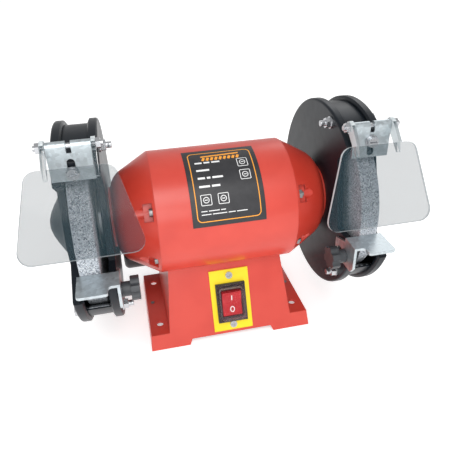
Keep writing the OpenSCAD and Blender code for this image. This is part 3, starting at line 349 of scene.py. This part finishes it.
def clear_sheet(name, tint, opacity, rim_opacity, face, roughness=0.03, ripple=0.0):
    """Clear plastic: see-through over its broad faces, and denser where it is seen edge-on, where its pale
    colour is a painted highlight.
    """
    made = Material(name, tint, roughness, IOR=1.49, Alpha=opacity, Specular_IOR_Level=0.3)
    made.material.surface_render_method = "BLENDED"
    across = made.node("ShaderNodeVectorMath", operation="DOT_PRODUCT")
    across.inputs[1].default_value = face
    made.link(made.facing, across.inputs[0])
    broad = made.distance(across.outputs["Value"])
    rim_end, face_start = 0.6, 0.9
    made.link(made.between(broad, rim_opacity, opacity, rim_end, face_start), made.shader.inputs["Alpha"])
    # Painted highlight: faces turned away from the broad face get a pale colour in place of the sheet's tint.
    made.color(made.ramp(broad, (rim_end, (0.78, 0.84, 0.86)), (face_start, tint)))
    scuffs = made.noise(2.5 * MM, 6.0, made.scaled(1, 0.3, 0.3))
    made.roughness(scuffs, roughness, roughness + 0.1)
    if ripple:
        made.bump(made.noise(4 * MM, 1.0), 0.5, ripple)
    return made.material


def threaded(name, color, roughness, inner, outer):
    """Zinc-plated fasteners whose shanks are ribbed where |x| lies between two planes."""
    made = Material(name, color, roughness, metallic=0.95)
    made.round_edges(0.25 * MM)
    made.roughness(made.noise(2 * MM), roughness - 0.06, roughness + 0.1)
    split = made.node("ShaderNodeSeparateXYZ")
    made.link(made.coordinates, split.inputs["Vector"])
    inside = made.node("ShaderNodeMath", operation="COMPARE")
    inside.inputs[1].default_value = (inner + outer) / 2
    inside.inputs[2].default_value = (outer - inner) / 2
    made.link(made.distance(split.outputs["X"]), inside.inputs[0])
    height = made.node("ShaderNodeMath", operation="MULTIPLY")
    made.link(made.bands(0.8 * MM), height.inputs[0])
    made.link(inside.outputs[0], height.inputs[1])
    made.bump(height.outputs[0], 0.9, 0.35 * MM)
    return made.material


# ------------------------------------------------------------------ putting materials on the CAD nodes

RED = (0.64, 0.054, 0.032)
RED_SHADE = (0.59, 0.043, 0.025)
CHARCOAL = (0.010, 0.014, 0.020)
CHARCOAL_SHADE = (0.006, 0.009, 0.013)
ZINC = (0.56, 0.62, 0.65)
BRIGHT = (0.50, 0.51, 0.53)
BLACK = (0.012, 0.012, 0.014)
FLANGE = (0.52, 0.54, 0.56)
DARK_SCREW = (0.28, 0.27, 0.27)
POLISHED = (0.55, 0.56, 0.58)
CAST_CAGE = (0.6, 0.61, 0.62)
KNOB = (0.035, 0.038, 0.043)
YELLOW = (0.94, 0.74, 0.008)
YELLOW_SHADE = (0.90, 0.68, 0.006)
ROCKER_RED = (0.46, 0.002, 0.010)
LABEL_BLACK = (0.020, 0.020, 0.023)
SHIELD_TINT = (0.03, 0.06, 0.075)
HOOD_TINT = (0.3, 0.1, 0.1)
LABEL_ORANGE = (0.90, 0.36, 0.03)
LABEL_WHITE = (0.82, 0.82, 0.82)
MARK_WHITE = (0.85, 0.82, 0.82)

FRONT = Vector((0, -1, 0))
BOLT_HEAD = 4 * MM  # the end of each guard bolt that has no thread


def dress(material, *names):
    """Gives nodes one material."""
    for name in names:
        slots = nodes[name].data.materials
        slots.clear()
        slots.append(material)


def both(name):
    """The names of a left and right pair."""
    return f"{name}_left", f"{name}_right"


def facet(name, outward):
    """Planes of a node's flat faces that look along a direction: [(centre, normal)], largest first."""
    mesh = nodes[name].data
    groups = []
    for polygon in mesh.polygons:
        if polygon.normal.dot(outward) < 0.8:
            continue
        for group in groups:
            if group[1].dot(polygon.normal) > 0.9999:
                group[0] += polygon.center * polygon.area
                group[2] += polygon.area
                break
        else:
            groups.append([polygon.center * polygon.area, polygon.normal.copy(), polygon.area])
    groups.sort(key=lambda group: -group[2])
    return [(total / area, normal) for total, normal, area in groups]


def dress_nodes():
    dress(paint("red_paint", RED, RED_SHADE, 0.38, coat=0.3), "base_frame", "stator_shell", *both("end_bell"))
    dress(paint("guard_paint", CHARCOAL, CHARCOAL_SHADE, 0.34, gloss=0.2),
          *both("guard_inner"), *both("guard_cover"))
    dress(paint("cover_paint", CHARCOAL, CHARCOAL_SHADE, 0.5), "bottom_cover")
    dress(zinc_plate("zinc_sheet", ZINC, 0.36), *both("tool_rest"), *both("spark_plate"))
    dress(zinc_plate("strap", ZINC, 0.42), "capacitor_clip")
    dress(turned_metal("bright_zinc", BRIGHT, 0.26), *both("hinge_rod"), *both("hinge_nuts"),
          "spark_plate_screws", "guard_bolt_nuts", "rest_studs", "switch_plate_screws")
    dress(turned_metal("flange_zinc", FLANGE, 0.34),
          *both("inner_flange"), *both("outer_flange"), *both("wheel_nut"))
    bolt_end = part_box("guard_bolts")[1].x
    dress(threaded("bolt_steel", BRIGHT, 0.3, 0.0, bolt_end - BOLT_HEAD), "guard_bolts")
    dress(turned_metal("screw_steel", DARK_SCREW, 0.4), "tie_bolts", "tie_bolt_nuts",
          "guard_mount_screws", "bottom_cover_screws", "capacitor_screws")
    dress(turned_metal("shaft_steel", POLISHED, 0.22), "rotor_shaft", "bearing_outer_rings",
          "bearing_inner_rings", "bearing_balls", "wave_washers")
    dress(turned_metal("cage_metal", CAST_CAGE, 0.45), "rotor_cage")
    dress(laminations(), "stator_core", "rotor_core")
    dress(copper(), "stator_windings")
    dress(abrasive(), *both("grinding_wheel"))
    dress(paper(), "wheel_blotters")
    dress(moulded("knob_plastic", KNOB, 0.42), *both("rest_knob"))
    dress(moulded("black_plastic", BLACK, 0.4), "switch_body", "cable_gland")
    dress(moulded("sleeve", BLACK, 0.32, grain=2.2 * MM, strength=0.1), "capacitor")
    dress(paint("plate_yellow", YELLOW, YELLOW_SHADE, 0.45), "switch_plate")
    dress(moulded("rocker_red", ROCKER_RED, 0.3, strength=0.05), "switch_rocker")
    dress(moulded("label_black", LABEL_BLACK, 0.38, strength=0.05), "nameplate")
    shield_face = facet("eye_shield_right", FRONT)[0][1]
    hood_face = facet("switch_hood", FRONT)[0][1]
    dress(clear_sheet("shield_clear", SHIELD_TINT, 0.28, 0.75, shield_face), *both("eye_shield"))
    dress(clear_sheet("hood_clear", HOOD_TINT, 0.05, 0.18, hood_face, 0.06, 0.4 * MM), "switch_hood")


# ------------------------------------------------------------------ printed marks

def stroke(shape, points, width, closed=False):
    """Adds a flat line of this width through 2D points to a bmesh, as a strip of quads."""
    points = [Vector(p) for p in points]
    count = len(points)
    sides = []
    for i, point in enumerate(points):
        before = points[i - 1] if closed or i else point
        after = points[(i + 1) % count] if closed or i < count - 1 else point
        along = (after - before).normalized()
        across = Vector((-along.y, along.x)) * width / 2
        if before != point and after != point:
            turn = (point - before).normalized().dot(along)
            across /= max(0.5, turn)
        sides.append((point + across, point - across))
    made = [[shape.verts.new((*p, 0)) for p in pair] for pair in sides]
    for i in range(count if closed else count - 1):
        a, b = made[i], made[(i + 1) % count]
        shape.faces.new((a[0], a[1], b[1], b[0]))


def line(start, end, steps=1):
    """Points along a straight line, ends included."""
    start, end = Vector(start), Vector(end)
    return [start.lerp(end, i / steps) for i in range(steps + 1)]


def rounded_loop(width, height, radius, centre=(0, 0), step=0.003):
    """Points round a rectangle with round corners, close enough together to follow a curved surface."""
    points = []
    corners = [(1, 1, 0), (-1, 1, 90), (-1, -1, 180), (1, -1, 270)]
    turn = 15
    for sx, sy, start in corners:
        middle = Vector((sx * (width / 2 - radius), sy * (height / 2 - radius)))
        for i in range(90 // turn + 1):
            angle = math.radians(start + turn * i)
            points.append(middle + radius * Vector((math.cos(angle), math.sin(angle))))
    full = []
    for i, point in enumerate(points):
        following = points[(i + 1) % len(points)]
        steps = max(1, round((following - point).length / step))
        full += [point.lerp(following, j / steps) for j in range(steps)]
    return [p + Vector(centre) for p in full]


def circle(radius, centre, count=32):
    """Points round a circle."""
    turns = [2 * math.pi * i / count for i in range(count)]
    return [Vector(centre) + radius * Vector((math.cos(turn), math.sin(turn))) for turn in turns]


def finish_piece(name, shape, place, material, body):
    """Moves each flat point of a bmesh to its place, and makes it a piece that rides on a body."""
    for vertex in shape.verts:
        vertex.co = place(vertex.co)
    bmesh.ops.recalc_face_normals(shape, faces=shape.faces)
    mesh = bpy.data.meshes.new(name)
    shape.to_mesh(mesh)
    shape.free()
    piece = bpy.data.objects.new(name, mesh)
    bpy.context.scene.collection.objects.link(piece)
    mesh.materials.append(material)
    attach(piece, body)


def ink(name, color):
    """Printed ink, a little uneven."""
    made = Material(name, color, 0.5)
    light = tuple(min(1, 1.1 * c) for c in color)
    made.color(made.ramp(made.noise(1.5 * MM, 4.0), (0.35, color), (0.7, light)))
    made.bump(made.noise(0.3 * MM), 0.1, 0.01 * MM)
    return made.material


INK_LIFT = 0.36 * MM   # from the shell's own radius out to the ink, over the label
LABEL_INSET = 4.4 * MM
# The label's rows: how far each is below its top edge, the lengths of its words, and its weight, all in mm.
LABEL_ROWS = [(17, (6, 5, 7), 1.7), (25, (11,), 1.8), (32.5, (6, 3, 9), 1.8), (40, (9, 7), 1.8)]
# The small print: how far each row is below the label's middle, and the lengths of its words, in mm.
LABEL_FOOT = [(23.6, (5, 9, 4)), (26.4, (8, 12, 6, 9))]
# Middles of the framed symbols, in mm from the label's middle.
LABEL_SYMBOLS = [(18, 16.5), (18, 4), (-18, -14.5), (-3.5, -14.5)]


def label_place():
    """Returns a function from label coordinates (along the spindle, up the curve) to its surface."""
    low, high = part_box("nameplate")
    shell_low, shell_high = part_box("stator_shell")
    axis = Vector((0, (shell_low.y + shell_high.y) / 2, (shell_low.z + shell_high.z) / 2))
    radius = (shell_high.z - shell_low.z) / 2 + INK_LIFT
    bottom = math.asin((low.z - axis.z) / radius)
    top = math.asin(min(1, (high.z - axis.z) / radius))
    middle = (bottom + top) / 2
    size = Vector((high.x - low.x, (top - bottom) * radius))

    def place(point):
        angle = middle + point.y / radius
        return axis + Vector((point.x, -radius * math.cos(angle), radius * math.sin(angle)))

    return place, size


def draw_heading(shape, top):
    """A plain block heading: a long bar, rising a little, with a row of slanted bars under it."""
    bar_left, bar_right, rise = -16 * MM, 17 * MM, 1.2 * MM
    stroke(shape, line((bar_left, top), (bar_right, top + rise), 8), 1.6 * MM)
    first, spacing, slant = -15, 3.7, 1.6 * MM
    foot, head = top - 5.2 * MM, top - 1.6 * MM
    for i in range(9):
        x = (first + spacing * i) * MM
        stroke(shape, line((x, foot), (x + slant, head), 2), 2.2 * MM)


def draw_words(shape, left, height, words, gap, weight):
    """A row of bars, one for each word."""
    x = left
    for word in words:
        stroke(shape, line((x, height), (x + word * MM, height), 3), weight * MM)
        x += (word + gap) * MM


def draw_symbol(shape, centre):
    """A frame round a plain ring with a dash in it."""
    side, corner, ring = 8.6 * MM, 0.8 * MM, 2.3 * MM
    half_dash = Vector((1.2, 0)) * MM
    stroke(shape, rounded_loop(side, side, corner, centre), 0.55 * MM, closed=True)
    stroke(shape, circle(ring, centre), 0.6 * MM, closed=True)
    stroke(shape, line(centre - half_dash, centre + half_dash, 2), 0.7 * MM)


def make_label():
    place, size = label_place()
    orange = ink("label_orange", LABEL_ORANGE)
    white = ink("label_white", LABEL_WHITE)
    half_w, half_h = size / 2

    border = bmesh.new()
    corner, heading_drop, margin = 4 * MM, 9.5 * MM, 9 * MM
    frame_line = rounded_loop(size.x - 2 * LABEL_INSET, size.y - 2 * LABEL_INSET, corner)
    stroke(border, frame_line, 0.8 * MM, closed=True)
    draw_heading(border, half_h - heading_drop)
    finish_piece("label_border", border, place, orange, "frame")

    marks = bmesh.new()
    left = -half_w + margin
    for drop, words, weight in LABEL_ROWS:
        draw_words(marks, left, half_h - drop * MM, words, 1.6, weight)
    for x, y in LABEL_SYMBOLS:
        draw_symbol(marks, Vector((x, y)) * MM)
    for drop, words in LABEL_FOOT:
        draw_words(marks, left - 1 * MM, -drop * MM, words, 1.2, 0.7)
    finish_piece("label_marks", marks, place, white, "frame")


def make_switch_marks():
    """The I and O on the two faces of the rocker."""
    white = ink("switch_white", MARK_WHITE)
    faces = sorted(facet("switch_rocker", FRONT)[:2], key=lambda face: -face[0].z)
    bar_half, bar_width = 2.6 * MM, 1.0 * MM
    ring_radius, ring_width, ring_squeeze = 2.5 * MM, 0.9 * MM, 0.72
    ink_gap = 0.05 * MM
    for mark, (centre, normal) in zip(("on", "off"), faces):
        shape = bmesh.new()
        if mark == "on":
            stroke(shape, line((0, -bar_half), (0, bar_half)), bar_width)
        else:
            loop = [Vector((p.x * ring_squeeze, p.y)) for p in circle(ring_radius, (0, 0))]
            stroke(shape, loop, ring_width, closed=True)
        across = Vector((1, 0, 0))
        up = normal.cross(across).normalized()
        lift = centre + normal * ink_gap

        def place(point, lift=lift, across=across, up=up):
            return lift + across * point.x + up * point.y

        finish_piece(f"rocker_mark_{mark}", shape, place, white, "rocker")


# ------------------------------------------------------------------ the scene

def main():
    bpy.context.scene.view_settings.view_transform = "Standard"
    make_camera()
    make_world()
    make_floor()
    for name, (place, target, power) in LIGHTS.items():
        make_area_light(name, place, target, power)
    dress_nodes()
    make_label()
    make_switch_marks()


main()
